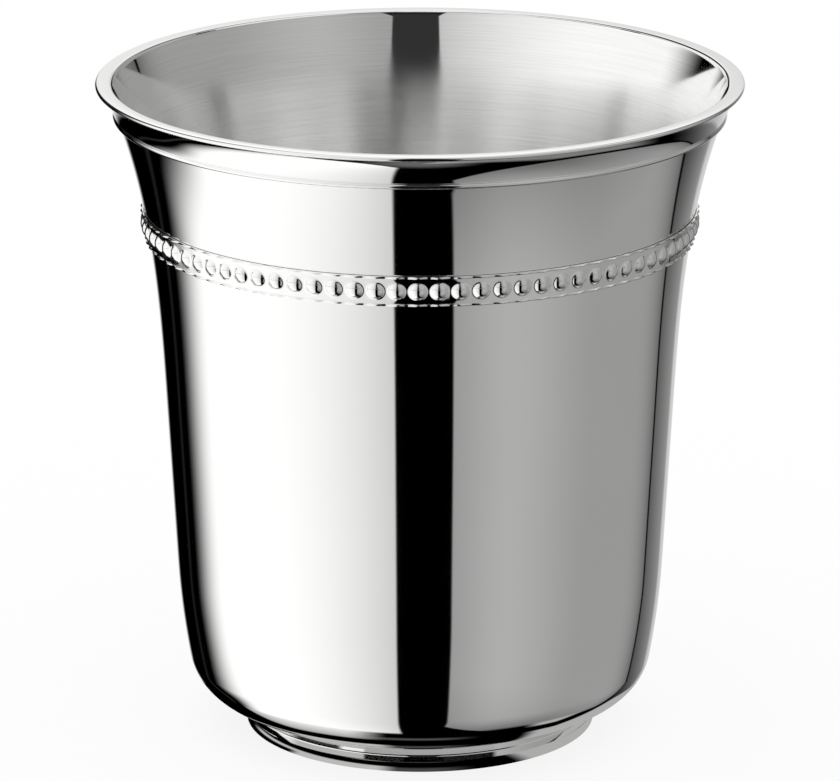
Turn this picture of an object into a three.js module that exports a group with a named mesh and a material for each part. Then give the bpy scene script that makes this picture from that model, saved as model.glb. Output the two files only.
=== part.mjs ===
// Footed metal beaker: a spun cup with a flared mouth, a moulding under its lip, a band of beads and a foot ring.
// Millimetres, +Z up, origin on the table at the centre of the foot.
import * as THREE from 'three';

// Cup
const HEIGHT = 78.3; // table to the top of the lip
const MOUTH_RADIUS = 36.3; // inner edge of the lip
const SHEET = 0.65; // thickness of the spun metal
const CONE_RADIUS = 27.73; // the tapered wall, carried down to the table
const TAPER = 0.0564; // radius that the wall gains for each millimetre of height
const FLARE_START = 39.3; // height at which the wall begins to flare
const BELLY_TOP = 20; // height below which the wall draws in
const BELLY_RADIUS = 93; // radius of that gentle curve
const CORNER_RADIUS = 6; // between the wall and the underside
const UNDERSIDE = 3.56; // height of the cup's underside over the table

// Lip
const LIP_WIDTH = 1.55;
const LIP_THICKNESS = 0.5;
const LIP_EDGE_ROUND = 0.1; // softened inner edge of the mouth

// Moulding under the lip
const THREAD_DROP = 3.8; // top of the lip to the middle of the thread
const THREAD_RADIUS = 0.4;
const THREAD_PROUD = 0.5; // how far the thread stands out from the wall
const THREAD_CREASE = THREE.MathUtils.degToRad(35); // where the cove meets the thread's round
const COVE_SETBACK = 0.5; // lip's outer edge to the top of the cove
const COVE_HOLLOW = 0.18; // depth of the cove under its chord

// Bead band
const BAND_DROP = 16.9; // top of the lip to the middle of the band
const BAND_BORDER = 0.77; // plain strip above and below the beads
const STRIP_TOP = 0.12; // thickness of the strip at its upper edge
const STRIP_BOTTOM = 0.22; // thickness at its lower edge, where the wall falls away
const BEAD_DIAMETER = 2.1;
const BEAD_RISE = 0.5;
const BEAD_SPACING = 0.31; // least room between neighbouring beads

// Foot ring
const FOOT_RADIUS = 20.75;
const FOOT_WIDTH = 2.05; // bore of the ring to its widest place
const FOOT_ROUND_HEIGHT = 1.9; // the rounded part that stands on the table
const FOOT_ROUND_WIDTH = 0.9; // how far it bulges from the neck
const FOOT_ROUND_MIDDLE = 0.8; // height of the widest place
const FOOT_NECK_INSET = 0.2; // the neck lies a little inside the round
const FOOT_SHOULDER_INSET = 0.05; // widest place to the edge of the face under the cup

const SOLDER_GAP = 0.06; // room for solder behind each applied piece
const SIDES = 72; // facets round each turned piece

// Values that follow from the sizes above
const LIP_RADIUS = MOUTH_RADIUS + LIP_WIDTH;
const LIP_UNDERSIDE = HEIGHT - LIP_THICKNESS;
const WALL_TOP_RADIUS = MOUTH_RADIUS + SHEET - LIP_EDGE_ROUND;
const FLARE = WALL_TOP_RADIUS - CONE_RADIUS - TAPER * HEIGHT;
const FLARE_HEIGHT = HEIGHT - FLARE_START;
const THREAD_HEIGHT = HEIGHT - THREAD_DROP;
const THREAD_BOTTOM = THREAD_HEIGHT - THREAD_RADIUS;
const BAND_HEIGHT = BEAD_DIAMETER + 2 * BAND_BORDER;
const BAND_MIDDLE = HEIGHT - BAND_DROP;
const BAND_BOTTOM = BAND_MIDDLE - BAND_HEIGHT / 2;
const BAND_TOP = BAND_MIDDLE + BAND_HEIGHT / 2;

function evenly(from, to, count) {
  return Array.from({ length: count + 1 }, (_, i) => from + ((to - from) * i) / count);
}

function arc(centre, halfWidth, halfHeight, from, to, count) {
  return evenly(from, to, count).map(
    (angle) => new THREE.Vector2(centre.x + halfWidth * Math.cos(angle), centre.y + halfHeight * Math.sin(angle)),
  );
}

// Outer radius of the wall: a slight cone that draws in at the belly and flares out to the lip.
function wallRadius(z) {
  const drawnIn = Math.max(BELLY_TOP - z, 0) ** 2 / (2 * BELLY_RADIUS);
  const flare = FLARE * Math.max((z - FLARE_START) / FLARE_HEIGHT, 0) ** 3;
  return CONE_RADIUS + TAPER * z - drawnIn + flare;
}

// How far the wall leans out from the upright, as an angle.
function wallLean(z) {
  const belly = Math.max(BELLY_TOP - z, 0) / BELLY_RADIUS;
  const flare = (3 * FLARE * Math.max((z - FLARE_START) / FLARE_HEIGHT, 0) ** 2) / FLARE_HEIGHT;
  return Math.atan(TAPER + belly + flare);
}

function outerWall(z) {
  return new THREE.Vector2(wallRadius(z), z);
}

function innerWall(z) {
  const lean = wallLean(z);
  return new THREE.Vector2(wallRadius(z) - SHEET * Math.cos(lean), z + SHEET * Math.sin(lean));
}

// Back of a piece that is soldered to the wall.
function seatRadius(z) {
  return wallRadius(z) + SOLDER_GAP;
}

// Height at which the corner's arc runs into the wall, found by repeating the condition that both lean alike there.
function cornerTop() {
  let z = UNDERSIDE + CORNER_RADIUS;
  for (let i = 0; i < 20; i += 1) {
    z = UNDERSIDE + CORNER_RADIUS * (1 - Math.sin(wallLean(z)));
  }
  return z;
}

function turned(profile) {
  return new THREE.LatheGeometry(profile, SIDES).rotateX(Math.PI / 2);
}

function polished(name, geometry, color) {
  const material = new THREE.MeshStandardMaterial({ color, roughness: 0.06, metalness: 1 });
  const mesh = new THREE.Mesh(geometry, material);
  mesh.name = name;
  return mesh;
}

// The shell: its outer line runs from the axis under the bottom to the lip, and its inner line back to the axis.
function cupBody() {
  const wallStart = cornerTop();
  const lean = wallLean(wallStart);
  const cornerCentre = new THREE.Vector2(
    wallRadius(wallStart) - CORNER_RADIUS * Math.cos(lean),
    UNDERSIDE + CORNER_RADIUS,
  );
  const heights = [
    ...evenly(wallStart, BELLY_TOP, 3).slice(1),
    ...evenly(BELLY_TOP, FLARE_START, 1).slice(1),
    ...evenly(FLARE_START, BAND_BOTTOM, 3).slice(1),
    BAND_TOP,
    ...evenly(BAND_TOP, THREAD_BOTTOM, 3).slice(1),
    ...evenly(THREAD_BOTTOM, LIP_UNDERSIDE, 2).slice(1),
  ];
  const innerRadius = CORNER_RADIUS - SHEET;
  const lipEdge = LIP_THICKNESS / 2;
  const lipEdgeCentre = new THREE.Vector2(LIP_RADIUS - lipEdge, HEIGHT - lipEdge);
  const innerTop = innerWall(LIP_UNDERSIDE);
  const mouthRound = new THREE.Vector2(MOUTH_RADIUS, innerTop.y);
  const outside = [
    new THREE.Vector2(0, UNDERSIDE),
    ...arc(cornerCentre, CORNER_RADIUS, CORNER_RADIUS, -Math.PI / 2, -lean, 5),
    ...heights.map(outerWall),
  ];
  const lip = [
    ...arc(lipEdgeCentre, lipEdge, lipEdge, -Math.PI / 2, Math.PI / 2, 4),
    ...arc(mouthRound, MOUTH_RADIUS - innerTop.x, HEIGHT - innerTop.y, Math.PI / 2, Math.PI, 2).slice(0, -1),
  ];
  const inside = [
    ...heights.map(innerWall).reverse(),
    ...arc(cornerCentre, innerRadius, innerRadius, -lean, -Math.PI / 2, 5),
    new THREE.Vector2(0, UNDERSIDE + SHEET),
  ];
  return polished('cup_body', turned([...outside, ...lip, ...inside]), 0xdcdcda);
}

// Under the lip: a cove that runs down to a half-round thread, with its back on the wall.
function rimMoulding() {
  const top = LIP_UNDERSIDE - SOLDER_GAP;
  const threadCentre = new THREE.Vector2(wallRadius(THREAD_HEIGHT) + THREAD_PROUD - THREAD_RADIUS, THREAD_HEIGHT);
  const thread = arc(threadCentre, THREAD_RADIUS, THREAD_RADIUS, -Math.PI / 2, THREAD_CREASE, 5);
  const crease = thread[thread.length - 1];
  const coveTop = new THREE.Vector2(LIP_RADIUS - COVE_SETBACK, top);
  const chord = coveTop.clone().sub(crease);
  const inward = new THREE.Vector2(-chord.y, chord.x).normalize();
  const control = crease.clone().lerp(coveTop, 0.5).addScaledVector(inward, 2 * COVE_HOLLOW);
  const cove = new THREE.QuadraticBezierCurve(crease, control, coveTop).getPoints(5).slice(1);
  const back = evenly(THREAD_BOTTOM, LIP_UNDERSIDE, 2).slice(0, 2).map((z) => new THREE.Vector2(seatRadius(z), z));
  const backTop = new THREE.Vector2(seatRadius(top), top);
  const profile = [...back.slice(0, 1), ...thread, ...cove, backTop, ...back.reverse()];
  return polished('rim_moulding', turned(profile), 0xd6d6d4);
}

// The rolled strip. Each bead has a cell of its own: rings of eight points climb from the cell's border to the crown.
function beadBand() {
  const faceBottom = seatRadius(BAND_BOTTOM) + STRIP_BOTTOM;
  const faceTop = seatRadius(BAND_TOP) + STRIP_TOP;
  const faceMiddle = (faceBottom + faceTop) / 2;
  const beadRadius = BEAD_DIAMETER / 2;
  const ballRadius = (beadRadius ** 2 + BEAD_RISE ** 2) / (2 * BEAD_RISE);
  const capAngle = Math.acos((ballRadius - BEAD_RISE) / ballRadius);
  const count = Math.floor((2 * Math.PI * faceMiddle) / (BEAD_DIAMETER + BEAD_SPACING));
  const pitch = (2 * Math.PI) / count;
  const compass = [[1, 0], [1, 1], [0, 1], [-1, 1], [-1, 0], [-1, -1], [0, -1], [1, -1]];
  const corners = [];

  function onBand(radius, angle, z) {
    return new THREE.Vector3(radius * Math.cos(angle), radius * Math.sin(angle), z);
  }

  function onFace(angle, z, rise) {
    const share = (z - BAND_BOTTOM) / BAND_HEIGHT;
    return onBand(THREE.MathUtils.lerp(faceBottom, faceTop, share) + rise, angle, z);
  }

  function quad(a, b, c, d) {
    corners.push(a, b, c, a, c, d);
  }

  // A ring round the bead, at an angle from the axis of the ball that the bead is a cap of.
  function beadRing(middle, ballAngle) {
    const reach = ballRadius * Math.sin(ballAngle);
    const rise = ballRadius * (Math.cos(ballAngle) - Math.cos(capAngle));
    return compass.map(([east, north]) => {
      const toward = reach / Math.hypot(east, north);
      return onFace(middle + (east * toward) / faceMiddle, BAND_MIDDLE + north * toward, rise);
    });
  }

  for (let bead = 0; bead < count; bead += 1) {
    const middle = bead * pitch;
    const border = compass.map(([east, north]) =>
      onFace(middle + (east * pitch) / 2, BAND_MIDDLE + (north * BAND_HEIGHT) / 2, 0),
    );
    const crown = onFace(middle, BAND_MIDDLE, BEAD_RISE);
    const rings = [border, beadRing(middle, capAngle), beadRing(middle, capAngle / 2)];
    compass.forEach((_, k) => {
      const next = (k + 1) % compass.length;
      quad(rings[1][k], rings[0][k], rings[0][next], rings[1][next]);
      quad(rings[2][k], rings[1][k], rings[1][next], rings[2][next]);
      corners.push(crown, rings[2][k], rings[2][next]);
    });
    const angles = [middle - pitch / 2, middle, middle + pitch / 2];
    for (let half = 0; half < 2; half += 1) {
      const [from, to] = [angles[half], angles[half + 1]];
      const backBottom = [from, to].map((angle) => onBand(seatRadius(BAND_BOTTOM), angle, BAND_BOTTOM));
      const backTop = [from, to].map((angle) => onBand(seatRadius(BAND_TOP), angle, BAND_TOP));
      const edgeBottom = [from, to].map((angle) => onFace(angle, BAND_BOTTOM, 0));
      const edgeTop = [from, to].map((angle) => onFace(angle, BAND_TOP, 0));
      quad(backTop[0], edgeTop[0], edgeTop[1], backTop[1]);
      quad(edgeBottom[0], backBottom[0], backBottom[1], edgeBottom[1]);
      quad(backBottom[0], backTop[0], backTop[1], backBottom[1]);
    }
  }
  const geometry = new THREE.BufferGeometry().setFromPoints(corners);
  geometry.computeVertexNormals();
  return polished('bead_band', geometry, 0xd2d2d0);
}

// The foot: a flat seat on the table, a rounded bead and a hollow neck that spreads under the cup.
function footRing() {
  const top = UNDERSIDE - SOLDER_GAP;
  const roundCentre = new THREE.Vector2(FOOT_RADIUS - FOOT_ROUND_WIDTH, FOOT_ROUND_MIDDLE);
  const halfHeight = FOOT_ROUND_HEIGHT - FOOT_ROUND_MIDDLE;
  const seatAngle = -Math.asin(FOOT_ROUND_MIDDLE / halfHeight);
  const round = arc(roundCentre, FOOT_ROUND_WIDTH, halfHeight, seatAngle, Math.PI / 2, 5);
  const neck = new THREE.Vector2(roundCentre.x - FOOT_NECK_INSET, FOOT_ROUND_HEIGHT);
  const shoulder = new THREE.Vector2(FOOT_RADIUS - FOOT_SHOULDER_INSET, top);
  const hollow = new THREE.QuadraticBezierCurve(neck, new THREE.Vector2(neck.x, top), shoulder).getPoints(4);
  const boreRadius = FOOT_RADIUS - FOOT_WIDTH;
  const bore = [new THREE.Vector2(boreRadius, top), new THREE.Vector2(boreRadius, 0)];
  return polished('foot_ring', turned([...round, ...hollow, ...bore, round[0]]), 0xd6d6d4);
}

const beaker = new THREE.Group();
beaker.name = 'footed_beaker';
beaker.add(cupBody(), rimMoulding(), beadBand(), footRing());

export default beaker;
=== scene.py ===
"""A footed beaker of polished silver with a moulded lip, a band of beads and a ring foot, in a studio."""

import logging
import math
from dataclasses import dataclass
from enum import Enum
from typing import Callable, Sequence, Union

import bpy
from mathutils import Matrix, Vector


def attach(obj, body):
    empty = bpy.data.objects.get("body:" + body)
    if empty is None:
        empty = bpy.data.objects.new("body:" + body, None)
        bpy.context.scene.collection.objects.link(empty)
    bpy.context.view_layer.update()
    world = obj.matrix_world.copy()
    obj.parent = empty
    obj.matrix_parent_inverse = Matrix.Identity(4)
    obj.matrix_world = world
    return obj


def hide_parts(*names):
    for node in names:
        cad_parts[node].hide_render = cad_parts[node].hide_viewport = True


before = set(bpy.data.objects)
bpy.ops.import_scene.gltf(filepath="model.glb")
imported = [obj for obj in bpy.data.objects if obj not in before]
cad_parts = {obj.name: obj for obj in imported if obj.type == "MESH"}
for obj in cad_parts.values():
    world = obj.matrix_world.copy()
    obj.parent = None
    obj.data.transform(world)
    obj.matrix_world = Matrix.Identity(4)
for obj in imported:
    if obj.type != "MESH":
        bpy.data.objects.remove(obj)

log = logging.getLogger("beaker")

MM = 0.001
ROOT_BODY = "root"
NEAR = 1e-7
SEAM = 0.0005 * MM
SHARP = math.radians(28.0)
ORIGIN = (0.0, 0.0, 0.0)
WHITE = (1.0, 1.0, 1.0, 1.0)

# Angles in a section.
DOWN = -math.pi / 2.0
RIGHT = 0.0
UP = math.pi / 2.0
LEFT = math.pi

Point = tuple[float, float]
Span = tuple[float, float]
Sides = tuple[Span, Span]
Hill = tuple[float, float, float]
Colour = tuple[float, float, float]
Number = Union[float, "Value"]
Piece = bpy.types.Object
Node = bpy.types.Node
Socket = bpy.types.NodeSocket
Material = bpy.types.Material


class Ease(Enum):
    """How a value runs from one end of a range to the other."""

    STRAIGHT = "LINEAR"
    SMOOTH = "SMOOTHSTEP"


class Element(Enum):
    """What is selected in edit mode."""

    POINT = "VERT"
    EDGE = "EDGE"
    FACE = "FACE"


@dataclass(frozen=True)
class Value:
    """A shader socket that Python's operators can reckon with."""

    graph: "Graph"
    socket: Socket

    def __add__(self, other: Number) -> "Value":
        """Sum."""
        return self.graph.math("ADD", self, other)

    __radd__ = __add__

    def __sub__(self, other: Number) -> "Value":
        """Difference."""
        return self.graph.math("SUBTRACT", self, other)

    def __rsub__(self, other: Number) -> "Value":
        """Difference, from the right."""
        return self.graph.math("SUBTRACT", other, self)

    def __mul__(self, other: Number) -> "Value":
        """Product."""
        return self.graph.math("MULTIPLY", self, other)

    __rmul__ = __mul__

    def __truediv__(self, other: Number) -> "Value":
        """Quotient."""
        return self.graph.math("DIVIDE", self, other)

    def __pow__(self, other: Number) -> "Value":
        """Power."""
        return self.graph.math("POWER", self, other)

    def __neg__(self) -> "Value":
        """Negative."""
        return self.graph.math("MULTIPLY", self, -1.0)

    def __abs__(self) -> "Value":
        """Size without the sign."""
        return self.graph.math("ABSOLUTE", self)

    def __lt__(self, other: Number) -> "Value":
        """1 where it is the smaller one, and 0 elsewhere."""
        return self.graph.math("LESS_THAN", self, other)

    def above(self) -> "Value":
        """Itself where it is over 0, and 0 elsewhere."""
        return self.graph.math("MAXIMUM", self, 0.0)

    def rise(self, span: Span, ease: Ease = Ease.SMOOTH) -> "Value":
        """A step from 0 before the span to 1 after it."""
        settings = {"interpolation_type": ease.value, "clamp": True}
        return self.graph.value("ShaderNodeMapRange", 0, {0: self, 1: span[0], 2: span[1]}, settings)

    def between(self, start: Span, end: Span) -> "Value":
        """A plateau that rises from 0 to 1 over start and falls back over end."""
        return self.rise(start) * (1.0 - self.rise(end))

    def hump(self, hill: Hill) -> "Value":
        """A hill that is 0 outside its ends and 1 at its top."""
        return self.between((hill[0], hill[1]), (hill[1], hill[2]))


class Graph:
    """The node tree of one material or world, written as Python expressions."""

    def __init__(self, owner: bpy.types.ID) -> None:
        """Empties the node tree.

        Args:
            owner: The material or world that it belongs to.
        """
        owner.use_nodes = True
        self.tree = owner.node_tree
        self.tree.nodes.clear()

    def node(self, kind: str, inputs: dict | None = None, settings: dict | None = None) -> Node:
        """Adds one node.

        Args:
            kind: The node's type.
            inputs: Values or links by socket name or number.
            settings: Properties, set before the sockets because some of them change the sockets.

        Returns:
            The new node.
        """
        made = self.tree.nodes.new(kind)
        for name, value in (settings or {}).items():
            setattr(made, name, value)
        for key, value in (inputs or {}).items():
            source = value.socket if isinstance(value, Value) else value
            if isinstance(source, Socket):
                self.tree.links.new(source, made.inputs[key])
            else:
                made.inputs[key].default_value = source
        return made

    def value(
        self, kind: str, output: str | int, inputs: dict | None = None, settings: dict | None = None
    ) -> Value:
        """Adds one node and wraps one of its outputs, named or numbered by output."""
        return Value(self, self.node(kind, inputs, settings).outputs[output])

    def math(self, operation: str, first: Number, second: Number = 0.0) -> Value:
        """Adds a Math node and returns its result."""
        return self.value("ShaderNodeMath", 0, {0: first, 1: second}, {"operation": operation})

    def noise(self, place: Socket, scale: float, detail: float) -> Value:
        """Soft clouds from 0 to 1."""
        inputs = {"Vector": place, "Scale": scale, "Detail": detail}
        return self.value("ShaderNodeTexNoise", 0, inputs)

    def parts(self, vector: Socket) -> tuple[Value, Value, Value]:
        """The three parts of a vector."""
        split = self.node("ShaderNodeSeparateXYZ", {0: vector})
        return tuple(Value(self, split.outputs[i]) for i in range(3))

    def grey(self, level: Value) -> Socket:
        """A neutral colour of that level."""
        return self.node("ShaderNodeCombineColor", {0: level, 1: level, 2: level}).outputs[0]

    def join(self, share: Value, first: Node, second: Node) -> Node:
        """Mixes two shaders by the share of the second."""
        inputs = {0: share, 1: first.outputs[0], 2: second.outputs[0]}
        return self.node("ShaderNodeMixShader", inputs)

    def metal(
        self, tones: tuple[Colour, Colour], mix: Value, gloss: Value, relief: Value, depth: float
    ) -> Node:
        """Adds a metal shader and links it to the output.

        Args:
            tones: The two colours of the metal.
            mix: Share of the second colour.
            gloss: The roughness.
            relief: Height of the surface, from 0 to 1.
            depth: What a height of 1 is, in metres.

        Returns:
            The shader node.
        """
        low, high = ((*tone, 1.0) for tone in tones)
        tone = self.node("ShaderNodeMix", {0: mix, 6: low, 7: high}, {"data_type": "RGBA"})
        bump = self.node("ShaderNodeBump", {"Distance": depth, "Height": relief})
        inputs = {"Base Color": tone.outputs[2], "Roughness": gloss, "Normal": bump.outputs[0]}
        shader = self.node("ShaderNodeBsdfPrincipled", {"Metallic": 1.0, **inputs})
        self.node("ShaderNodeOutputMaterial", {0: shader.outputs[0]})
        return shader


@dataclass(frozen=True)
class MirrorSilver:
    """Bright silver that has been polished on a wheel: a mirror with faint hairlines and soft waves."""

    name: str = "mirror_silver"
    tones: tuple[Colour, Colour] = ((0.965, 0.964, 0.952), (0.985, 0.985, 0.978))
    tone_span: Span = (0.3, 0.75)
    roughness: float = 0.025
    roughness_spread: float = 0.02
    cloud_scale: float = 55.0
    cloud_detail: float = 3.0
    hairline_stretch: tuple[float, float, float] = (60.0, 60.0, 5200.0)
    hairline_detail: float = 2.0
    hairline_height: float = 0.0000004

    def make(self) -> Material:
        """Builds the material.

        Returns:
            The new material.
        """
        material = bpy.data.materials.new(self.name)
        graph = Graph(material)
        place = graph.node("ShaderNodeTexCoord").outputs["Object"]
        cloud = graph.noise(place, self.cloud_scale, self.cloud_detail)
        stretched = graph.node("ShaderNodeMapping", {0: place, "Scale": self.hairline_stretch})
        hairline = graph.noise(stretched.outputs[0], 1.0, self.hairline_detail)
        gloss = self.roughness + self.roughness_spread * cloud
        graph.metal(self.tones, cloud.rise(self.tone_span), gloss, hairline, self.hairline_height)
        return material


@dataclass(frozen=True)
class BrushedSilver:
    """Silver rubbed round and round with a soft abrasive: satin in the bowl, brighter towards the lip."""

    name: str = "brushed_silver"
    tones: tuple[Colour, Colour] = ((0.92, 0.92, 0.91), (0.985, 0.985, 0.978))
    tone_span: Span = (0.3, 0.7)
    satin: float = 0.25
    bright: float = 0.045
    brightening: Span = (67.0 * MM, 76.2 * MM)
    line_height: float = 0.0000024
    line_pitch: float = 5000.0
    line_length: float = 90.0
    line_detail: float = 4.0
    line_roughness: float = 0.02
    anisotropy: float = 1.0
    brush_turn: float = 0.25

    def make(self) -> Material:
        """Builds the material.

        Returns:
            The new material.
        """
        material = bpy.data.materials.new(self.name)
        graph = Graph(material)
        place = graph.node("ShaderNodeTexCoord").outputs["Object"]
        x, y, z = graph.parts(place)
        out = graph.math("SQRT", x * x + y * y)
        stretched = {0: x * self.line_length, 1: y * self.line_length, 2: (z + out) * self.line_pitch}
        along = graph.node("ShaderNodeCombineXYZ", stretched).outputs[0]
        lines = graph.noise(along, 1.0, self.line_detail)
        rubbed = 1.0 - z.rise(self.brightening)
        gloss = self.bright + rubbed * (self.satin - self.bright + self.line_roughness * (lines - 0.5))
        mix = lines.rise(self.tone_span)
        shader = graph.metal(self.tones, mix, gloss, lines * rubbed, self.line_height)
        shader.inputs["Anisotropic"].default_value = self.anisotropy
        shader.inputs["Anisotropic Rotation"].default_value = self.brush_turn
        return material


@dataclass(frozen=True)
class CupShape:
    """Sizes of the spun shell in millimetres, which the applied pieces take their seats from."""

    height: float = 78.3
    mouth_radius: float = 36.3
    sheet: float = 0.65
    cone_radius: float = 27.73
    taper: float = 0.0564
    flare_start: float = 39.3
    belly_top: float = 20.0
    belly_radius: float = 93.0
    corner_radius: float = 6.0
    corner_rounds: int = 20
    underside: float = 3.56
    lip_width: float = 1.55
    lip_thickness: float = 0.5
    lip_edge_round: float = 0.1
    solder_gap: float = 0.06

    @property
    def lip_radius(self) -> float:
        """Outer edge of the lip."""
        return self.mouth_radius + self.lip_width

    @property
    def lip_underside(self) -> float:
        """Height of the lip's lower face."""
        return self.height - self.lip_thickness

    @property
    def flare(self) -> float:
        """Radius that the flare adds to the cone at the lip."""
        wall = self.mouth_radius + self.sheet - self.lip_edge_round
        return wall - self.cone_radius - self.taper * self.height

    def flare_share(self, z: float) -> float:
        """How far up the flare a height lies, from 0 to 1."""
        return max((z - self.flare_start) / (self.height - self.flare_start), 0.0)

    def wall_radius(self, z: float) -> float:
        """Outer radius of the wall at a height."""
        drawn_in = max(self.belly_top - z, 0.0) ** 2 / (2.0 * self.belly_radius)
        return self.cone_radius + self.taper * z - drawn_in + self.flare * self.flare_share(z) ** 3

    def wall_lean(self, z: float) -> float:
        """Angle at which the wall leans out from the upright at a height."""
        flare = 3.0 * self.flare * self.flare_share(z) ** 2 / (self.height - self.flare_start)
        return math.atan(self.taper + max(self.belly_top - z, 0.0) / self.belly_radius + flare)

    def inner_wall(self, z: float) -> Point:
        """The point of the inner face that lies square behind the outer face's point at a height."""
        lean = self.wall_lean(z)
        return self.wall_radius(z) - self.sheet * math.cos(lean), z + self.sheet * math.sin(lean)

    def corner_top(self) -> float:
        """Finds where the bottom's corner runs into the wall with the same lean.

        Returns:
            The height.
        """
        z = self.underside + self.corner_radius
        for _ in range(self.corner_rounds):
            z = self.underside + self.corner_radius * (1.0 - math.sin(self.wall_lean(z)))
        return z


def evenly(start: float, end: float, count: int) -> list[float]:
    """Values from start to end in count equal steps, both ends included."""
    return [start + (end - start) * i / count for i in range(count + 1)]


def arc(centre: Point, radius: float, start: float, end: float, count: int) -> list[Point]:
    """Points on an upright circle, from one angle to another in count steps."""
    angles = evenly(start, end, count)
    return [(centre[0] + radius * math.cos(a), centre[1] + radius * math.sin(a)) for a in angles]


def hollow_curve(start: Point, control: Point, end: Point, count: int) -> list[Point]:
    """Points on a curve from start to end that is drawn towards control, in count steps."""
    shares = [((1.0 - t) ** 2, 2.0 * t * (1.0 - t), t * t) for t in evenly(0.0, 1.0, count)]
    return [tuple(a * p + b * c + d * q for p, c, q in zip(start, control, end)) for a, b, d in shares]


class Bench:
    """The modelling operations that the pieces share, done as by hand."""

    @staticmethod
    def draw(name: str, outline: Sequence[Point]) -> Piece:
        """Starts a piece as one point, and draws an outline from it by extruding edge after edge.

        Args:
            name: The piece's name.
            outline: Radius and height of each point in millimetres.

        Returns:
            The new object at the origin, in edit mode.
        """
        bpy.ops.mesh.primitive_plane_add(size=MM, enter_editmode=True, location=ORIGIN)
        piece = bpy.context.object
        piece.name = name
        piece.data.name = name
        bpy.ops.mesh.select_mode(type="VERT")
        bpy.ops.mesh.select_all(action="SELECT")
        bpy.ops.mesh.merge(type="CENTER")
        bpy.ops.transform.translate(value=(outline[0][0] * MM, 0.0, outline[0][1] * MM))
        for last, point in zip(outline, outline[1:]):
            step = ((point[0] - last[0]) * MM, 0.0, (point[1] - last[1]) * MM)
            bpy.ops.mesh.extrude_vertices_move(TRANSFORM_OT_translate={"value": step})
        return piece

    @staticmethod
    def turn(name: str, outline: Sequence[Point], sides: int, closed: bool) -> Piece:
        """Turns an outline about the upright axis.

        Args:
            name: The piece's name.
            outline: Radius and height of each point in millimetres.
            sides: Steps of the full turn.
            closed: Whether the outline closes on itself, and doesn't run from axis to axis.

        Returns:
            The turned piece, smooth, with its faces outwards.
        """
        piece = Bench.draw(name, outline)
        if closed:
            Bench.pick(Element.POINT, lambda v: v.index in (0, len(outline) - 1))
            bpy.ops.mesh.edge_face_add()
        bpy.ops.mesh.select_all(action="SELECT")
        bpy.ops.mesh.spin(steps=sides, angle=2.0 * math.pi, center=ORIGIN, axis=(0.0, 0.0, 1.0))
        Bench.finish(SEAM)
        return piece

    @staticmethod
    def finish(seam: float) -> None:
        """Closes the seams of a piece, turns its faces outwards, smooths it and leaves edit mode.

        Args:
            seam: How near to each other two points lie that become one.
        """
        bpy.ops.mesh.select_all(action="SELECT")
        bpy.ops.mesh.remove_doubles(threshold=seam)
        bpy.ops.mesh.normals_make_consistent(inside=False)
        bpy.ops.object.mode_set(mode="OBJECT")
        bpy.ops.object.shade_smooth_by_angle(angle=SHARP)

    @staticmethod
    def start_pick(kind: Element) -> bpy.types.Mesh:
        """Deselects all of the active piece and leaves edit mode, so that a selection can be set.

        Args:
            kind: What will be selected.

        Returns:
            The piece's mesh.
        """
        bpy.ops.object.mode_set(mode="EDIT")
        bpy.ops.mesh.select_mode(type=kind.value)
        bpy.ops.mesh.select_all(action="DESELECT")
        bpy.ops.object.mode_set(mode="OBJECT")
        return bpy.context.object.data

    @staticmethod
    def pick(kind: Element, wanted: Callable[[bpy.types.bpy_struct], bool]) -> None:
        """Selects points or faces of the active piece, and enters edit mode.

        Args:
            kind: Which of the two.
            wanted: A test of one of them.
        """
        mesh = Bench.start_pick(kind)
        for element in mesh.polygons if kind is Element.FACE else mesh.vertices:
            element.select = wanted(element)
        bpy.ops.object.mode_set(mode="EDIT")

    @staticmethod
    def pick_edges(wanted: Callable[[Vector, Vector, int], bool]) -> None:
        """Selects edges of the active piece, and enters edit mode.

        Args:
            wanted: A test of an edge's two ends and of the number of faces that meet there.
        """
        mesh = Bench.start_pick(Element.EDGE)
        meeting = {}
        for face in mesh.polygons:
            for key in face.edge_keys:
                meeting[key] = meeting.get(key, 0) + 1
        for edge in mesh.edges:
            first, second = (mesh.vertices[i].co for i in edge.vertices)
            edge.select = wanted(first, second, meeting.get(edge.key, 0))
        bpy.ops.object.mode_set(mode="EDIT")

    @staticmethod
    def hand_over(piece: Piece, node: str) -> None:
        """Lets a piece stand for its CAD node, and reports it.

        Args:
            piece: The finished piece.
            node: The node's name.
        """
        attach(piece, ROOT_BODY)
        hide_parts(node)
        log.info("%s: %d faces for node %s", piece.name, len(piece.data.polygons), node)


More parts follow.
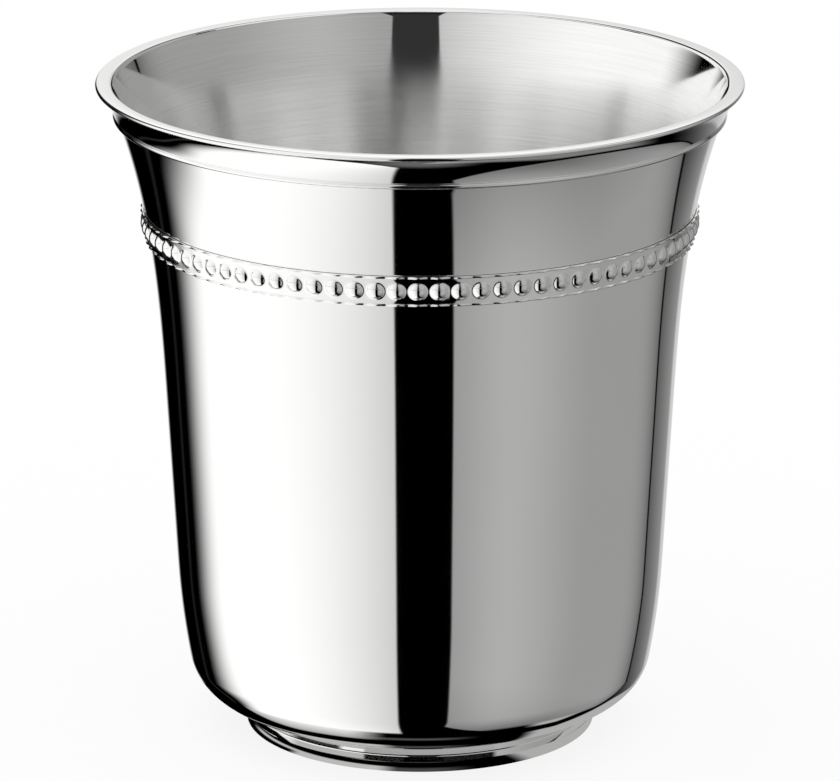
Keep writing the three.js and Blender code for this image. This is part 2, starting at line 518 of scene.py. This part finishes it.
@dataclass
class CupBody:
    """The shell, spun from one sheet: bottom, belly, tapered wall, flare and turned-out lip."""

    shape: CupShape
    sides: int = 256
    wall_step: float = 1.5
    corner_steps: int = 20
    lip_steps: int = 10
    mouth_turn: float = 0.4
    mouth_depth: float = 2.4
    mouth_lean: float = math.radians(34.0)
    mouth_reach: float = 0.55
    lip_slack: float = 0.02
    bottom_radius: float = 20.0
    bottom_tilt: float = 0.5

    def outline(self) -> list[Point]:
        """Draws the section.

        Returns:
            Its points, from the axis under the bottom, over the lip and back to the axis inside.
        """
        s = self.shape
        start = s.corner_top()
        lean = s.wall_lean(start)
        centre = (s.wall_radius(start) - s.corner_radius * math.cos(lean), s.underside + s.corner_radius)
        heights = evenly(start, s.lip_underside, round((s.lip_underside - start) / self.wall_step))[1:]
        edge = s.lip_thickness / 2.0
        turn = self.mouth_turn
        below = [z for z in heights if s.inner_wall(z)[1] < s.height - self.mouth_depth]
        brow = (s.mouth_radius - turn * math.cos(self.mouth_lean), s.height - turn)
        leave = s.inner_wall(below[-1])
        climb = (brow[1] - leave[1]) * self.mouth_reach
        meet = (leave[0] + climb * math.tan(s.wall_lean(below[-1])), leave[1] + climb)
        return [
            (0.0, s.underside),
            *arc(centre, s.corner_radius, DOWN, RIGHT - lean, self.corner_steps),
            *[(s.wall_radius(z), z) for z in heights],
            *arc((s.lip_radius - edge, s.height - edge), edge, DOWN, UP, self.lip_steps),
            *arc((s.mouth_radius, s.height - turn), turn, UP, LEFT - self.mouth_lean, self.lip_steps)[:-1],
            *hollow_curve(brow, meet, leave, self.lip_steps)[:-1],
            *[s.inner_wall(z) for z in reversed(below)],
            *arc(centre, s.corner_radius - s.sheet, RIGHT - lean, DOWN, self.corner_steps),
            (0.0, s.underside + s.sheet),
        ]

    def build(self) -> Piece:
        """Turns the shell."""
        return Bench.turn("cup_shell", self.outline(), self.sides, closed=False)

    def is_inside(self, face: bpy.types.MeshPolygon) -> bool:
        """Tells the inner face from the outer one.

        Args:
            face: A face of the turned shell.

        Returns:
            Whether it looks into the cup.
        """
        s = self.shape
        out = Vector((face.center.x, face.center.y, 0.0))
        height = face.center.z / MM
        within = out.length < s.mouth_radius * MM and s.underside + s.sheet / 2.0 < height
        on_bottom = out.length < self.bottom_radius * MM and face.normal.z > self.bottom_tilt
        inwards = face.normal.dot(out) < 0.0 or on_bottom
        return within and inwards and height < s.height - self.lip_slack

    def dress(self, piece: Piece, outside: Material, inside: Material) -> None:
        """Polishes the outside and the lip, and brushes the inside.

        Args:
            piece: The turned shell.
            outside: Finish of the outer face and the lip.
            inside: Finish of the inner face.
        """
        piece.data.materials.append(outside)
        piece.data.materials.append(inside)
        Bench.pick(Element.FACE, self.is_inside)
        piece.active_material_index = 1
        bpy.ops.object.material_slot_assign()
        bpy.ops.object.mode_set(mode="OBJECT")


@dataclass
class RimMoulding:
    """The ring of drawn moulding under the lip: a cove that runs down to a half-round thread."""

    shape: CupShape
    thread_drop: float = 3.85
    thread_radius: float = 0.36
    thread_proud: float = 0.48
    thread_crease: float = math.radians(40.0)
    line_radius: float = 0.09
    line_proud: float = 0.25
    line_crease: float = math.pi / 3.0
    cove_setback: float = 0.5
    cove_hollow: float = 0.18
    sides: int = 256
    thread_steps: int = 14
    line_steps: int = 8
    cove_steps: int = 16
    back_steps: int = 6

    def outline(self) -> list[Point]:
        """Draws the section.

        Returns:
            Its points, round the thread, up the cove and down the back.
        """
        s = self.shape
        top = s.lip_underside - s.solder_gap
        middle = s.height - self.thread_drop
        bottom = middle - self.thread_radius
        centre = (s.wall_radius(middle) + self.thread_proud - self.thread_radius, middle)
        thread = arc(centre, self.thread_radius, DOWN, self.thread_crease, self.thread_steps)
        line_middle = thread[-1][1] + self.line_radius
        line_centre = (s.wall_radius(line_middle) + self.line_proud, line_middle)
        line = arc(line_centre, self.line_radius, DOWN, self.line_crease, self.line_steps)
        crease = Vector(line[-1])
        cove_top = Vector((s.lip_radius - self.cove_setback, top))
        chord = cove_top - crease
        inward = Vector((-chord.y, chord.x)).normalized()
        control = (crease + cove_top) / 2.0 + inward * 2.0 * self.cove_hollow
        cove = hollow_curve(tuple(crease), tuple(control), tuple(cove_top), self.cove_steps)[1:]
        back = [(s.wall_radius(z) + s.solder_gap, z) for z in evenly(top, bottom, self.back_steps)]
        return [*thread, *line, *cove, *back]

    def build(self) -> Piece:
        """Turns the moulding."""
        return Bench.turn("lip_moulding", self.outline(), self.sides, closed=True)


@dataclass
class FootRing:
    """The turned foot: a slightly swelling band, two narrow tapered steps and a hollow neck under the cup."""

    shape: CupShape
    radius: float = 20.75
    width: float = 2.05
    edge_round: float = 0.15
    swell_radius: float = 10.0
    swell_middle: float = 0.55
    swell_top: float = 1.22
    line_depth: float = 0.04
    line_height: float = 0.04
    groove_depth: float = 0.1
    groove_height: float = 0.2
    groove_lean: float = math.radians(-8.0)
    step_top: float = 1.84
    step_lean: float = math.radians(9.3)
    fillet_top: float = 2.42
    fillet_lean: float = math.radians(9.8)
    shoulder_bottom: float = 2.72
    shoulder_lean: float = math.radians(10.3)
    shoulder_inset: float = 0.05
    sides: int = 256
    swell_steps: int = 16
    step_steps: int = 4
    neck_steps: int = 12

    def taper(self, start: Point, top: float, lean: float) -> list[Point]:
        """A straight run that leans in from start up to a height."""
        slope = math.tan(lean)
        return [(start[0] - (z - start[1]) * slope, z) for z in evenly(start[1], top, self.step_steps)]

    def cut(self, end: Point) -> Point:
        """Where the next run starts, above the fine line that is cut over the last one."""
        return end[0] - self.line_depth, end[1] + self.line_height

    def outline(self) -> list[Point]:
        """Draws the section.

        Returns:
            Its points, up the outside and down the bore.
        """
        top = self.shape.underside - self.shape.solder_gap
        middle = (self.radius - self.swell_radius, self.swell_middle)
        low = math.asin((self.edge_round - self.swell_middle) / self.swell_radius)
        high = math.asin((self.swell_top - self.swell_middle) / self.swell_radius)
        swell = arc(middle, self.swell_radius, low, high, self.swell_steps)
        corner = (swell[0][0] - self.edge_round, self.edge_round)
        seat = arc(corner, self.edge_round, DOWN, RIGHT, self.step_steps)[:-1]
        step = self.taper(self.cut(swell[-1]), self.step_top, self.step_lean)
        floor = (step[-1][0] - self.groove_depth, step[-1][1] + self.line_height / 2.0)
        groove = self.taper(floor, floor[1] + self.groove_height, self.groove_lean)
        fillet = self.taper((step[-1][0] - self.line_depth, groove[-1][1]), self.fillet_top, self.fillet_lean)
        fillet = [*fillet, *self.taper(fillet[-1], self.shoulder_bottom, self.shoulder_lean)[1:]]
        shoulder = (self.radius - self.shoulder_inset, top)
        bend = (fillet[-1][0] - self.line_depth, (fillet[-1][1] + top) / 2.0)
        neck = hollow_curve(self.cut(fillet[-1]), bend, shoulder, self.neck_steps)
        bore = self.radius - self.width
        return [*seat, *swell, *step, *groove, *fillet, *neck, (bore, top), (bore, 0.0)]

    def build(self) -> Piece:
        """Turns the foot."""
        return Bench.turn("foot", self.outline(), self.sides, closed=True)


@dataclass
class BeadBand:
    """The rolled strip round the neck: a row of beads between two fine raised borders."""

    shape: CupShape
    drop: float = 16.9
    border: float = 0.77
    strip_top: float = 0.12
    strip_bottom: float = 0.22
    bead_diameter: float = 2.1
    bead_count: int = 84
    first_bead: float = math.radians(-0.4)
    ball_radius: float = 1.33
    hollow_radius: float = 0.42
    rim_tilt: float = math.radians(43.2)
    border_width: float = 0.3
    border_rise: float = 0.14
    border_swell: float = 0.115
    border_steps: int = 8
    bead_sides: int = 40
    ball_rings: int = 34
    hollow_steps: int = 6

    @property
    def height(self) -> float:
        """Height of the strip."""
        return self.bead_diameter + 2.0 * self.border

    @property
    def middle(self) -> float:
        """Height of the beads' centres over the table."""
        return self.shape.height - self.drop

    def face_radius(self, share: float) -> float:
        """Radius of the strip's face.

        Args:
            share: How far up the face, from 0 at its lower edge to 1 at its upper one.

        Returns:
            The radius there.
        """
        low = self.middle - self.height / 2.0
        high = self.middle + self.height / 2.0
        seat = self.shape.solder_gap
        bottom = self.shape.wall_radius(low) + seat + self.strip_bottom
        top = self.shape.wall_radius(high) + seat + self.strip_top
        return bottom + (top - bottom) * share

    def bead(self) -> Piece:
        """Models one bead: the cap of a ball that looks towards -Y, on a hollow foot that is open at Y = 0.

        Returns:
            The object, in edit mode.
        """
        angles = evenly(self.rim_tilt, 0.0, self.hollow_steps)
        foot = self.ball_radius * math.sin(self.rim_tilt) + self.hollow_radius * math.sin(self.rim_tilt)
        radius = self.hollow_radius
        hollow = [(foot - radius * math.sin(a), radius * (1.0 - math.cos(a))) for a in angles]
        bpy.ops.mesh.primitive_uv_sphere_add(
            segments=self.bead_sides,
            ring_count=self.ball_rings,
            radius=self.ball_radius * MM,
            enter_editmode=True,
        )
        piece = bpy.context.object
        piece.name = "beaded_strip"
        piece.data.name = "beaded_strip"
        bpy.ops.transform.rotate(value=math.pi / 2.0, orient_axis="X", center_override=ORIGIN)
        sunk = self.ball_radius * math.cos(self.rim_tilt) - hollow[0][1]
        bpy.ops.transform.translate(value=(0.0, sunk * MM, 0.0))
        bpy.ops.mesh.select_all(action="SELECT")
        rim = (0.0, -hollow[0][1] * MM, 0.0)
        bpy.ops.mesh.bisect(plane_co=rim, plane_no=(0.0, 1.0, 0.0), clear_outer=True, threshold=NEAR)
        Bench.pick_edges(lambda a, b, faces: faces == 1)
        for last, point in zip(hollow, hollow[1:]):
            step = (0.0, (last[1] - point[1]) * MM, 0.0)
            bpy.ops.mesh.extrude_edges_move(TRANSFORM_OT_translate={"value": step})
            wider = point[0] / last[0]
            bpy.ops.transform.resize(value=(wider, 1.0, wider), center_override=ORIGIN)
        return piece

    @property
    def pitch(self) -> float:
        """Length of the strip that one bead takes, along the middle of its face."""
        return 2.0 * math.pi * self.face_radius(0.5) / self.bead_count

    @property
    def lean(self) -> float:
        """Angle at which the strip's face leans out from the upright."""
        return math.atan2(self.face_radius(1.0) - self.face_radius(0.0), self.height)

    @property
    def plate_half(self) -> float:
        """Half the height of the flat plate between the borders."""
        return self.height / 2.0 - self.border_width

    def plate(self) -> None:
        """Lays the flat plate round the bead, as a ring of faces from its edge to the bead's rim."""
        half = self.plate_half
        bpy.ops.mesh.select_all(action="DESELECT")
        bpy.ops.mesh.primitive_plane_add(size=1.0, location=ORIGIN)
        bpy.ops.transform.rotate(value=math.pi / 2.0, orient_axis="X", center_override=ORIGIN)
        bpy.ops.transform.resize(value=(self.pitch * MM, 1.0, 2.0 * half * MM), center_override=ORIGIN)
        bpy.ops.mesh.delete(type="ONLY_FACE")

        def on_edge(point: Vector) -> bool:
            """Whether a point lies on the plate's outer edge."""
            return max(abs(point.x) - self.pitch * MM / 2.0, abs(point.z) - half * MM) > -NEAR

        Bench.pick_edges(lambda a, b, faces: faces == 0 and on_edge(a) and on_edge(b))
        bpy.ops.mesh.subdivide(number_cuts=self.bead_sides // 4 - 1)
        Bench.pick_edges(lambda a, b, faces: faces < 2)
        bpy.ops.mesh.bridge_edge_loops()

    def raise_border(self, side: int) -> None:
        """Draws the fine half-round border along one long edge of the plate.

        Args:
            side: 1 for the upper edge and -1 for the lower one.
        """
        edge = side * self.plate_half * MM
        Bench.pick_edges(lambda a, b, faces: abs(a.z - edge) < NEAR and abs(b.z - edge) < NEAR)
        half = self.border_width / 2.0 * MM
        rise = self.border_rise * MM
        across = arc((0.0, 0.0), 1.0, LEFT, RIGHT, self.border_steps)
        for last, point in zip(across, across[1:]):
            step = (0.0, (last[1] - point[1]) * rise, side * (point[0] - last[0]) * half)
            bpy.ops.mesh.extrude_edges_move(TRANSFORM_OT_translate={"value": step})

    def wave_borders(self) -> None:
        """Lets both borders swell beside the bead and sink between two beads."""
        edge = self.plate_half * MM
        for place in evenly(-self.pitch / 2.0, self.pitch / 2.0, self.bead_sides // 4):
            swell = 1.0 + self.border_swell / self.border_rise * math.cos(2.0 * math.pi * place / self.pitch)
            Bench.pick(
                Element.POINT,
                lambda v: abs(v.co.x - place * MM) < 10.0 * NEAR and abs(v.co.z) > edge + NEAR,
            )
            bpy.ops.transform.resize(value=(1.0, swell, 1.0), center_override=ORIGIN)

    def close_back(self) -> None:
        """Leans the cell to its place, draws its long edges back to the wall and closes the back."""
        bpy.ops.mesh.select_all(action="SELECT")
        bpy.ops.transform.rotate(value=-self.lean, orient_axis="X", center_override=ORIGIN)

        def is_long_edge(a: Vector, b: Vector, faces: int) -> bool:
            """Whether an edge is an open one that runs along the strip."""
            return faces == 1 and abs(a.x - b.x) > NEAR

        for side, depth in ((1, self.strip_top), (-1, self.strip_bottom)):
            Bench.pick_edges(lambda a, b, faces: is_long_edge(a, b, faces) and a.z * side > 0.0)
            bpy.ops.mesh.extrude_edges_move(TRANSFORM_OT_translate={"value": (0.0, depth * MM, 0.0)})
        Bench.pick_edges(is_long_edge)
        bpy.ops.mesh.bridge_edge_loops()

    def build(self) -> Piece:
        """Models one cell, repeats it and bends the strip into a ring.

        Returns:
            The finished strip.
        """
        piece = self.bead()
        self.plate()
        self.raise_border(1)
        self.raise_border(-1)
        self.wave_borders()
        self.close_back()
        bpy.ops.object.mode_set(mode="OBJECT")
        row = piece.modifiers.new("row", "ARRAY")
        row.count = self.bead_count
        row.use_relative_offset = False
        row.use_constant_offset = True
        row.constant_offset_displace = (self.pitch * MM, 0.0, 0.0)
        row.use_merge_vertices = True
        row.merge_threshold = NEAR
        ring = piece.modifiers.new("ring", "SIMPLE_DEFORM")
        ring.deform_method = "BEND"
        ring.deform_axis = "Z"
        ring.angle = 2.0 * math.pi
        for name in ("row", "ring"):
            bpy.ops.object.modifier_apply(modifier=name)
        bpy.ops.object.mode_set(mode="EDIT")
        bpy.ops.mesh.select_all(action="SELECT")
        bpy.ops.transform.translate(value=(0.0, -self.face_radius(0.5) * MM, self.middle * MM))
        bpy.ops.transform.rotate(value=-self.first_bead, orient_axis="Z", center_override=ORIGIN)
        Bench.finish(NEAR)
        return piece


@dataclass(frozen=True)
class Sight:
    """The direction of a mirrored ray, in degrees.

    A turn of 0 is towards the camera and grows to its right. Tilt counts from the horizon, and down from
    straight down. On a map with straight down in its middle, across runs to the right and near to the camera.
    """

    turn: Value
    tilt: Value
    down: Value
    across: Value
    near: Value


@dataclass(frozen=True)
class BrightCard:
    """The large white card at the left, brightest abreast of the cup."""

    level: float = 1.05
    edge: float = 3.3
    spread: float = 0.147
    corner: float = 10.0
    corner_spread: float = 0.7
    soft_edge: Span = (-0.7, 0.7)
    fade: float = 0.4
    fade_start: float = -75.0
    fade_reach: float = 63.0
    fade_power: float = 1.7
    back_edge: Span = (-134.0, -108.0)
    bulge: float = 9.0
    bulge_at: Hill = (8.0, 32.0, 52.0)
    dent: float = 6.5
    dent_at: Hill = (44.0, 54.0, 64.0)
    seam: float = 0.035
    seam_at: Hill = (-144.5, -141.5, -138.5)
    seam_low: float = 1.3
    seam_run: Span = (30.0, 70.0)
    top_fade: float = 0.09
    top_at: Span = (90.0, 102.0)

    def light(self, sight: Sight) -> Value:
        """Gives the card's brightness.

        Args:
            sight: The direction.

        Returns:
            The brightness, where 1 is white.
        """
        fade = ((sight.turn - self.fade_start) / self.fade_reach).above() ** self.fade_power
        bulge = self.bulge * sight.down.hump(self.bulge_at)
        back = sight.turn + bulge - self.dent * sight.down.hump(self.dent_at)
        beside = (self.corner - sight.near).above()
        rim = self.edge + self.spread * sight.near.above() + self.corner_spread * beside
        seam = self.seam * back.hump(self.seam_at)
        seam = seam * (self.seam_low - sight.down.rise(self.seam_run))
        card = back.rise(self.back_edge) * (1.0 - self.fade * fade)
        card = self.level * card * (-sight.across - rim).rise(self.soft_edge)
        return card * (1.0 - self.top_fade * sight.down.rise(self.top_at)) + seam


@dataclass(frozen=True)
class GreyCard:
    """The grey card at the right, with a soft hot spot, and a dim one beyond it."""

    level: float = 0.32
    hot_spot: float = 0.11
    hot_spot_at: Hill = (8.0, 42.0, 88.0)
    edge: float = 10.5
    spread: float = 0.255
    corner: float = 37.5
    corner_spread: float = 0.4
    soft_edge: Span = (-0.7, 0.7)
    back_edge: Span = (133.2, 134.4)
    dusk: float = 0.47
    dusk_start: float = 112.0
    dusk_reach: float = 20.0
    dusk_power: float = 2.2
    foot_level: float = 0.45
    foot_run: Span = (28.0, 57.0)
    far_level: float = 0.2
    far_gap: Span = (3.0, 5.5)
    far_sides: Sides = ((96.0, 116.0), (140.0, 150.0))
    far_top: Span = (38.0, 48.0)

    def light(self, sight: Sight) -> Value:
        """Gives the brightness of both cards.

        Args:
            sight: The direction.

        Returns:
            The brightness, where 1 is white.
        """
        ahead = (sight.near - self.corner).above()
        beside = (self.corner - sight.near).above()
        inside = sight.across - (self.edge + self.spread * ahead + self.corner_spread * beside)
        dusk = ((sight.turn - self.dusk_start).above() / self.dusk_reach) ** self.dusk_power
        level = self.level + self.hot_spot * sight.turn.hump(self.hot_spot_at)
        foot = (1.0 - self.foot_level) * sight.down.rise(self.foot_run, Ease.STRAIGHT)
        level = level * (1.0 - self.dusk * dusk) * (self.foot_level + foot)
        card = level * inside.rise(self.soft_edge) * (1.0 - sight.turn.rise(self.back_edge))
        far = self.far_level * (-inside).rise(self.far_gap) * (1.0 - sight.down.rise(self.far_top))
        return card + far * sight.turn.between(*self.far_sides)


@dataclass(frozen=True)
class Backdrop:
    """The pale backdrop behind the cup, and the dim card between it and the grey one."""

    level: float = 0.6
    gain: float = 0.24
    gain_run: Span = (164.0, 186.0)
    sides: Sides = ((156.0, 162.0), (186.0, 197.0))
    top_gain: float = 0.2
    top_run: Span = (13.0, 20.0)
    foot_run: Span = (50.0, 74.0)
    dim_level: float = 0.12
    dim_gain: float = 0.16
    dim_run: Span = (136.0, 156.0)
    dim_start: Span = (135.0, 136.4)

    def light(self, sight: Sight) -> Value:
        """Gives the brightness of the backdrop and the dim card.

        Args:
            sight: The direction.

        Returns:
            The brightness, where 1 is white.
        """
        dim = self.dim_level + self.dim_gain * sight.turn.rise(self.dim_run, Ease.STRAIGHT)
        dim = dim * sight.turn.between(self.dim_start, self.sides[0])
        behind = sight.turn + 360.0 * (sight.turn < 0.0)
        pale = self.level + self.gain * behind.rise(self.gain_run, Ease.STRAIGHT)
        pale = (pale + self.top_gain * sight.tilt.rise(self.top_run)) * behind.between(*self.sides)
        return (dim + pale) * sight.down.rise(self.foot_run)


@dataclass(frozen=True)
class Horizon:
    """The narrow lines of the table's far edge, which only the foot's tapered steps mirror."""

    bend: float = 0.00073
    unbend: float = 4.2e-9
    borders: tuple[Span, ...] = ((-1.65, -1.55), (-0.43, -0.36), (0.23, 0.3), (1.4, 1.5))
    ahead_level: float = 0.38
    ahead_sides: Sides = ((-38.0, -35.0), (47.0, 52.0))
    left_level: float = 0.45
    left_sides: Sides = ((35.0, 38.0), (104.0, 118.0))
    left_fade: float = 0.6
    left_fade_at: Span = (84.0, 98.0)
    middle_start: Span = (50.0, 56.0)

    def draw(self, sight: Sight, cards: Value) -> Value:
        """Draws the lines into the cards.

        Args:
            sight: The direction.
            cards: Brightness of the cards.

        Returns:
            The brightness with the lines.
        """
        square = sight.turn * sight.turn
        lift = sight.tilt + self.bend * square - self.unbend * square * square
        reach = -sight.turn
        ahead = sight.turn.between(*self.ahead_sides)
        left = reach.between(*self.left_sides)
        left = left * (1.0 - self.left_fade * reach.rise(self.left_fade_at))
        low, middle, high = (lift.between(*sides) for sides in zip(self.borders, self.borders[1:]))
        shown = (low + middle + high) * ahead + (low + high) * left
        shown = shown + middle * left * reach.rise(self.middle_start)
        level = self.ahead_level * ahead * (middle + high) + self.left_level * left * (low + high)
        return cards * (1.0 - shown) + level


@dataclass(frozen=True)
class PaintedTableShade:
    """A glowing patch of the table round the foot that only mirrored rays meet, with painted shadow under the
    belly and painted light close to the foot, in millimetres and degrees.
    """

    edge: Span = (29.0, 30.0)
    front_sides: Sides = ((-22.0, -10.0), (4.0, 20.0))
    front_ring: float = 0.08
    front_ring_at: Hill = (25.6, 26.4, 27.4)
    front_close: float = 0.06
    front_close_end: Span = (21.6, 22.6)
    left_sides: Sides = ((10.0, 24.0), (120.0, 140.0))
    left_shadow_radius: float = 25.6
    left_ring_edge: Span = (-0.35, 0.35)
    left_widening: float = 0.0055
    left_widening_start: float = 38.0
    left_level: float = 0.42
    left_gain: float = 0.55
    left_gain_run: Span = (0.3, 5.0)
    painted_glow_level: float = 0.5
    close_sides: Sides = ((7.0, 16.0), (70.0, 80.0))
    close_end: Span = (22.2, 22.7)
    notch_start: Span = (44.0, 50.0)
    notch_edge: Span = (21.5, 21.9)
    right_level: float = 0.42
    right_sides: Sides = ((33.0, 41.0), (140.0, 150.0))
    right_line: Sides = ((25.4, 25.9), (27.8, 28.4))
    right_widening: float = 0.13
    right_widening_start: float = 46.0

    def patch(self, graph: Graph, x: Value, y: Value) -> tuple[Value, Value]:
        """Puts the painted shade of the front, the right and the left of the table and the painted light
        close to the foot together.

        Args:
            graph: The floor's node tree.
            x: Millimetres to the camera's right.
            y: Millimetres away from the camera.

        Returns:
            How much of the patch there is at a place, from 0 to 1, and its painted brightness.
        """
        out = graph.math("SQRT", x * x + y * y)
        turn = graph.math("ARCTAN2", x, -y) * math.degrees(1.0)
        reach = -turn
        # Painted shade: the front is dark, with a faint painted light ring and a faint painted light close to
        # the foot.
        front = self.front_ring * out.hump(self.front_ring_at)
        front = front + self.front_close * (1.0 - out.rise(self.front_close_end))
        level = front * turn.between(*self.front_sides)
        # Painted shade and light: the right is grey, with a darker band across it.
        beyond = out - self.right_widening * (turn - self.right_widening_start).above()
        right = self.right_level * (1.0 - beyond.between(*self.right_line))
        level = level + right * turn.between(*self.right_sides)
        # Painted light: a pale glow close to the foot on the left, cut back by a notch further round.
        notch = reach.rise(self.notch_start) * (1.0 - out.rise(self.notch_edge))
        close = self.painted_glow_level * (1.0 - out.rise(self.close_end)) * (1.0 - notch)
        level = level + close * reach.between(*self.close_sides)
        # Painted shadow: the left stays dark up to a ring under the belly, and is pale grey beyond it,
        # brightening outwards.
        widening = (reach - self.left_widening_start).above()
        beyond = out - self.left_shadow_radius - self.left_widening * widening * widening
        pale = self.left_level + self.left_gain * beyond.rise(self.left_gain_run, Ease.STRAIGHT)
        level = level + pale * beyond.rise(self.left_ring_edge) * reach.between(*self.left_sides)
        return 1.0 - out.rise(self.edge), level


@dataclass(frozen=True)
class CardRoom:
    """What the polished metal sees round it: two cards, a backdrop and a table with painted shadow and
    painted light, with dark gaps between.
    """

    bright: BrightCard = BrightCard()
    grey: GreyCard = GreyCard()
    backdrop: Backdrop = Backdrop()
    horizon: Horizon = Horizon()
    table: PaintedTableShade = PaintedTableShade()
    nearest: float = 87.0
    under: float = 0.12
    under_end: Span = (3.0, 13.0)
    haze: float = 0.03
    haze_start: Span = (4.0, 20.0)
    overhead: float = 0.85
    overhead_start: Span = (22.0, 42.0)
    front_lift: float = 38.0
    front_end: Span = (50.0, 100.0)
    gap_lift: float = 45.0
    gap_at: Hill = (105.0, 140.0, 175.0)

    def light(self, graph: Graph) -> Value:
        """Gives the brightness that a mirrored ray meets.

        Args:
            graph: The world's node tree.

        Returns:
            The brightness, where 1 is white.
        """
        x, y, z = graph.parts(graph.node("ShaderNodeTexCoord").outputs["Generated"])
        turn = graph.math("ARCTAN2", x, -y) * math.degrees(1.0)
        tilt = graph.math("ARCSINE", z) * math.degrees(1.0)
        down = tilt + 90.0
        level = graph.math("MAXIMUM", graph.math("SQRT", x * x + y * y), 1e-5)
        near = graph.math("MINIMUM", -(down * y / level), self.nearest)
        sight = Sight(turn, tilt, down, down * x / level, near)
        cards = self.bright.light(sight) + self.grey.light(sight) + self.backdrop.light(sight)
        under = self.under * (1.0 - down.rise(self.under_end))
        cards = cards + under + self.haze * tilt.rise(self.haze_start)
        aside = abs(turn)
        lift = self.front_lift * (1.0 - aside.rise(self.front_end)) + self.gap_lift * aside.hump(self.gap_at)
        high = (tilt - lift).rise(self.overhead_start)
        return self.horizon.draw(sight, cards + high * (self.overhead - cards))


@dataclass
class Studio:
    """The camera, the white floor and the light round the cup."""

    distance: float = 0.7
    height: float = 0.245
    pitch: float = math.radians(16.29)
    lens: float = 264.2
    sensor: float = 36.0
    floor_size: float = 12.0
    floor_white: float = 0.85

    def set_camera(self) -> None:
        """Puts the camera in front of the cup, where the photograph was taken from."""
        bpy.ops.object.camera_add(
            location=(0.0, -self.distance, self.height), rotation=(math.pi / 2.0 - self.pitch, 0.0, 0.0)
        )
        camera = bpy.context.object
        camera.name = "camera"
        camera.data.lens = self.lens
        camera.data.sensor_width = self.sensor
        bpy.context.scene.camera = camera

    def lay_floor(self, room: CardRoom) -> None:
        """Lays a plain white floor; mirrored rays meet instead a glowing patch round the cup with painted
        shadow and painted light, and see through the floor beyond it.

        Args:
            room: What the metal sees round it.
        """
        bpy.ops.mesh.primitive_plane_add(size=self.floor_size, location=ORIGIN)
        floor = bpy.context.object
        floor.name = "floor"
        material = bpy.data.materials.new("white_floor")
        graph = Graph(material)
        matt = graph.node("ShaderNodeBsdfDiffuse", {"Color": WHITE})
        white = graph.node("ShaderNodeEmission", {"Color": WHITE})
        seen = self.floor_white * graph.value("ShaderNodeLightPath", "Is Camera Ray")
        plain = graph.join(seen, matt, white)
        x, y, _ = graph.parts(graph.node("ShaderNodeTexCoord").outputs["Object"])
        # Mirrored rays meet a glowing patch of painted shadow and painted light round the foot, and nothing
        # of the floor beyond it.
        cover, level = room.table.patch(graph, x / MM, y / MM)
        clear = graph.node("ShaderNodeBsdfTransparent")
        patch = graph.node("ShaderNodeEmission", {"Color": graph.grey(level)})
        below = graph.join(cover, clear, patch)
        mirrored = graph.value("ShaderNodeLightPath", "Is Glossy Ray")
        whole = graph.join(mirrored, plain, below)
        graph.node("ShaderNodeOutputMaterial", {0: whole.outputs[0]})
        floor.data.materials.append(material)

    def light(self, room: CardRoom) -> None:
        """Lights the scene evenly, and gives polished metal the cards to mirror.

        Args:
            room: The cards round the cup.
        """
        world = bpy.data.worlds.new("studio")
        world.cycles.sampling_method = "NONE"
        graph = Graph(world)
        mirrored = graph.value("ShaderNodeLightPath", "Is Glossy Ray")
        level = 1.0 + mirrored * (room.light(graph) - 1.0)
        shine = graph.node("ShaderNodeBackground", {"Color": WHITE, "Strength": level})
        graph.node("ShaderNodeOutputWorld", {0: shine.outputs[0]})
        bpy.context.scene.world = world
        bpy.context.scene.view_settings.view_transform = "Standard"


def main() -> None:
    """Builds the studio and the cup, piece by piece."""
    logging.basicConfig(level=logging.INFO, format="%(name)s: %(message)s")
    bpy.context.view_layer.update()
    studio = Studio()
    studio.set_camera()
    room = CardRoom()
    studio.lay_floor(room)
    studio.light(room)
    shape = CupShape()
    outside = MirrorSilver().make()
    inside = BrushedSilver().make()
    body = CupBody(shape)
    shell = body.build()
    body.dress(shell, outside, inside)
    Bench.hand_over(shell, "cup_body")
    applied = {
        "rim_moulding": RimMoulding(shape),
        "bead_band": BeadBand(shape),
        "foot_ring": FootRing(shape),
    }
    for node, part in applied.items():
        piece = part.build()
        piece.data.materials.append(outside)
        Bench.hand_over(piece, node)


if __name__ == "__main__":
    main()
